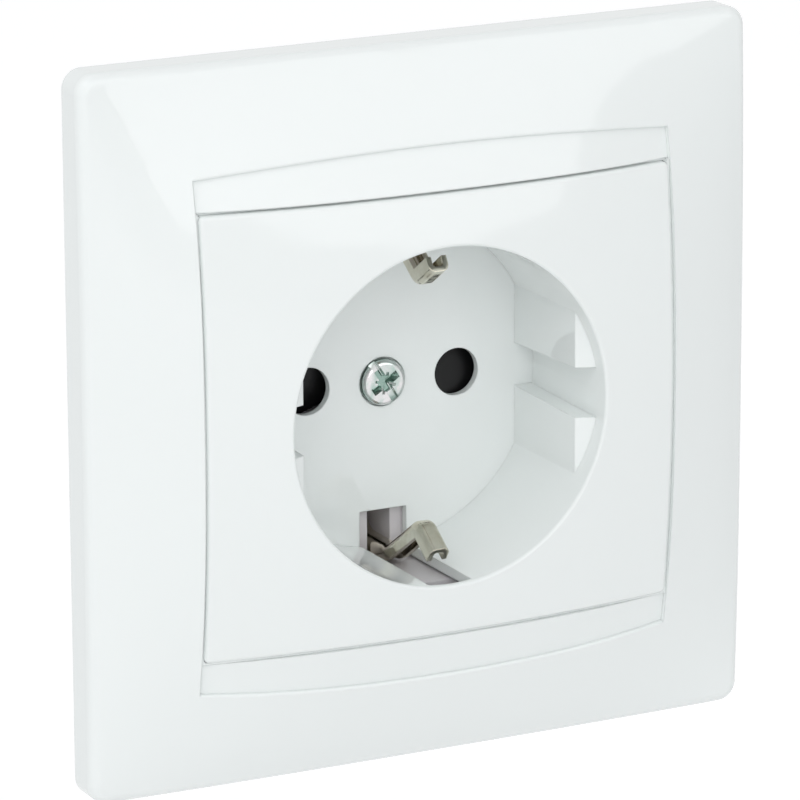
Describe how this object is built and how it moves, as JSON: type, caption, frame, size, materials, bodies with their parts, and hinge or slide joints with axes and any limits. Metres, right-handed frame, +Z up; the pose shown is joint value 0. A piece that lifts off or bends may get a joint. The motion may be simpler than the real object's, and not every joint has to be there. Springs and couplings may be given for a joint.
{
  "type": "type f wall socket",
  "caption": "Flush wall socket with a square crowned frame, a round plug well with side earth clips and a turning shutter, and a moulded insert behind on a steel support ring.",
  "frame": {"origin": "middle of the wall plane on the axis of the plug well, where the support ring and the frame's back edge meet the wall", "axes": "+Z up the wall, +X to the right as seen from the room, +Y into the wall; the front faces -Y"},
  "size_m": [0.083, 0.0449, 0.083],
  "materials": {
    "white_moulding": "high-gloss white moulded thermoplastic",
    "grey_moulding": "matt mauve-grey moulded thermoplastic",
    "black_moulding": "satin black moulded polyamide",
    "nickel_plated_strap": "stamped and folded spring strip, nickel plated",
    "contact_brass": "stamped and folded spring brass",
    "zinc_plated_steel": "stamped steel, zinc plated",
    "zinc_plated_screw": "cold-headed steel screw, bright zinc plated",
    "spring_steel": "bare spring wire"
  },
  "bodies": {
    "socket": {"base_housing": "grey_moulding", "centre_cover": "white_moulding", "contact_line": "contact_brass", "contact_neutral": "contact_brass", "cover_nut": "zinc_plated_steel", "cover_screw": "zinc_plated_screw", "earth_strap": "nickel_plated_strap", "frame": "white_moulding", "rear_cover": "grey_moulding", "rear_cover_screws": "zinc_plated_screw", "ring_screws": "zinc_plated_screw", "shutter_spring": "spring_steel", "support_ring": "zinc_plated_steel", "terminal_clamp_earth": "zinc_plated_steel", "terminal_clamp_line": "zinc_plated_steel", "terminal_clamp_neutral": "zinc_plated_steel", "terminal_screw_earth": "zinc_plated_screw", "terminal_screw_line": "zinc_plated_screw", "terminal_screw_neutral": "zinc_plated_screw"},
    "shutter": {"shutter": "black_moulding"}
  },
  "joints": [
    {"name": "shutter_turn", "type": "hinge", "parent": "socket", "child": "shutter", "pos_m": [0, 0.0087, 0], "axis": [0, 1, 0], "range_deg": [0, 40], "stiffness_Nm_per_rad": 0.002, "springref_deg": -11.46, "deforming": ["shutter_spring"]}
  ]
}
